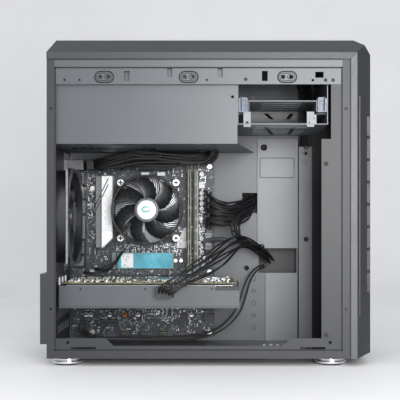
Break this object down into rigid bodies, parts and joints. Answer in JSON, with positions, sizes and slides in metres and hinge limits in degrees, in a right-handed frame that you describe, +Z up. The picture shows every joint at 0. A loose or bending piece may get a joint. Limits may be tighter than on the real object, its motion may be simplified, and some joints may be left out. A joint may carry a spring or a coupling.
{
  "type": "desktop computer tower",
  "caption": "Compact steel computer tower with its left side open, showing board, cooler, graphics card, power supply shroud and drive tray, with bevelled top cover and front bezel.",
  "frame": {"origin": "on the ground under the middle of the outline", "axes": "+Z up, -Y to the front bezel, -X out of the open left side"},
  "size_m": [0.2, 0.403, 0.3994],
  "materials": {
    "case_steel": "fine matt powder coat, charcoal grey",
    "tray_steel": "fine matt powder coat, mid grey inside the case",
    "plate_steel": "satin paint, lighter grey cover plates",
    "bezel_plastic": "moulded plastic with a fine brushed texture",
    "cover_plastic": "moulded plastic, satin",
    "black_plastic": "fine moulded texture",
    "gloss_black": "smooth moulded fan blades",
    "mesh": "woven dust mesh in a frame",
    "chrome_ring": "polished ring",
    "foot_rubber": "matt rubber",
    "psu_steel": "black powder coat",
    "board": "dark solder mask with fine tracks",
    "brass_part": "turned brass",
    "bright_aluminium": "anodised, light silver",
    "fin_aluminium": "stamped fins",
    "tin": "tinned connector shells",
    "slot_plastic": "light grey slot body",
    "dark_slot": "black slot body",
    "drive_label": "teal solid state drive with a plain label",
    "screw_steel": "nickel plated screws",
    "capacitor": "capacitor cans",
    "card_board": "olive circuit board",
    "card_shroud": "grey moulded shroud",
    "clip_plastic": "blue grey clips with white tabs",
    "cable": "black sleeved leads"
  },
  "bodies": {
    "chassis": {"base_pan": "tray_steel", "bottom_rails": "case_steel", "rear_panel": "case_steel", "rear_rails": "case_steel", "roof_panel": "case_steel", "top_rails": "case_steel", "front_panel": "case_steel", "front_rails": "case_steel", "motherboard_tray": "tray_steel", "tray_plates": "plate_steel", "psu_shroud": "tray_steel", "drive_cage": "case_steel", "top_cover": "cover_plastic", "front_ports": "black_plastic", "foot_rings": "chrome_ring", "foot_pads": "foot_rubber", "psu_case": "psu_steel", "psu_inlet": "black_plastic", "motherboard": "board", "standoffs": "brass_part", "board_heatsinks": "bright_aluminium", "io_ports": "tin", "io_shield": "tin", "memory_slots": "slot_plastic", "memory_modules": "board", "pcie_slots": "dark_slot", "board_sockets": "dark_slot", "cable_plugs": "black_plastic", "m2_drive": "drive_label", "board_screws": "screw_steel", "board_capacitors": "capacitor", "clock_battery": "tin", "cpu_heatsink": "fin_aluminium", "cpu_fan_frame": "black_plastic", "rear_fan_frame": "black_plastic", "gpu_board": "card_board", "gpu_heatsink": "fin_aluminium", "gpu_shroud": "card_shroud", "slot_covers": "tin", "atx_cable": "cable", "cpu_cable": "cable", "gpu_cable": "cable", "panel_leads": "cable"},
    "drive_caddy": {"drive_tray": "case_steel", "drive_clips": "clip_plastic"},
    "bezel": {"front_bezel": "bezel_plastic", "dust_filter": "mesh"},
    "side_panel": {"right_side_panel": "case_steel", "thumb_screws": "psu_steel"},
    "power_key": {"power_button": "black_plastic"},
    "reset_key": {"reset_button": "black_plastic"},
    "psu_fan": {"psu_fan_rotor": "gloss_black"},
    "cpu_fan": {"cpu_fan_rotor": "gloss_black"},
    "rear_fan": {"rear_fan_rotor": "gloss_black"},
    "card_fan_rear": {"gpu_rotor_rear": "gloss_black"},
    "card_fan_front": {"gpu_rotor_front": "gloss_black"},
    "mains_rocker": {"psu_rocker": "black_plastic"},
    "memory_lever_1": {"memory_latch_1": "dark_slot"},
    "memory_lever_2": {"memory_latch_2": "dark_slot"},
    "card_lever": {"pcie_latch": "dark_slot"}
  },
  "joints": [
    {"name": "caddy_slide", "type": "slide", "parent": "chassis", "child": "drive_caddy", "axis": [-1, 0, 0], "range_m": [0, 0.11]},
    {"name": "bezel_pull", "type": "slide", "parent": "chassis", "child": "bezel", "axis": [0, -1, 0], "range_m": [0, 0.06]},
    {"name": "panel_slide", "type": "slide", "parent": "chassis", "child": "side_panel", "axis": [0, 1, 0], "range_m": [0, 0.38]},
    {"name": "power_press", "type": "slide", "parent": "chassis", "child": "power_key", "axis": [0, 0, -1], "range_m": [0, 0.0025], "stiffness_N_per_m": 500, "springref_m": -0.001},
    {"name": "reset_press", "type": "slide", "parent": "chassis", "child": "reset_key", "axis": [0, 0, -1], "range_m": [0, 0.002], "stiffness_N_per_m": 400, "springref_m": -0.001},
    {"name": "psu_fan_spin", "type": "hinge", "parent": "chassis", "child": "psu_fan", "pos_m": [-0.0033, 0.1225, 0.2845], "axis": [0, 0, 1], "continuous": true},
    {"name": "cpu_fan_spin", "type": "hinge", "parent": "chassis", "child": "cpu_fan", "pos_m": [0.0212, 0.0815, 0.19], "axis": [1, 0, 0], "continuous": true},
    {"name": "rear_fan_spin", "type": "hinge", "parent": "chassis", "child": "rear_fan", "pos_m": [-0.0365, 0.18, 0.181], "axis": [0, 1, 0], "continuous": true},
    {"name": "card_fan_rear_spin", "type": "hinge", "parent": "chassis", "child": "card_fan_rear", "pos_m": [-0.0133, 0.12352, 0.074], "axis": [0, 0, 1], "continuous": true},
    {"name": "card_fan_front_spin", "type": "hinge", "parent": "chassis", "child": "card_fan_front", "pos_m": [-0.0133, 0.01376, 0.074], "axis": [0, 0, 1], "continuous": true},
    {"name": "rocker_tilt", "type": "hinge", "parent": "chassis", "child": "mains_rocker", "pos_m": [0.0227, 0.1895, 0.3085], "axis": [1, 0, 0], "range_deg": [0, 16]},
    {"name": "memory_lever_1_tilt", "type": "hinge", "parent": "chassis", "child": "memory_lever_1", "pos_m": [0.0607, 0.0269, 0.25], "axis": [0, 1, 0], "range_deg": [0, 35]},
    {"name": "memory_lever_2_tilt", "type": "hinge", "parent": "chassis", "child": "memory_lever_2", "pos_m": [0.0607, 0.0179, 0.25], "axis": [0, 1, 0], "range_deg": [0, 35]},
    {"name": "card_lever_tilt", "type": "hinge", "parent": "chassis", "child": "card_lever", "pos_m": [0.0617, 0.055, 0.0979], "axis": [0, 0, 1], "range_deg": [0, 30]}
  ]
}
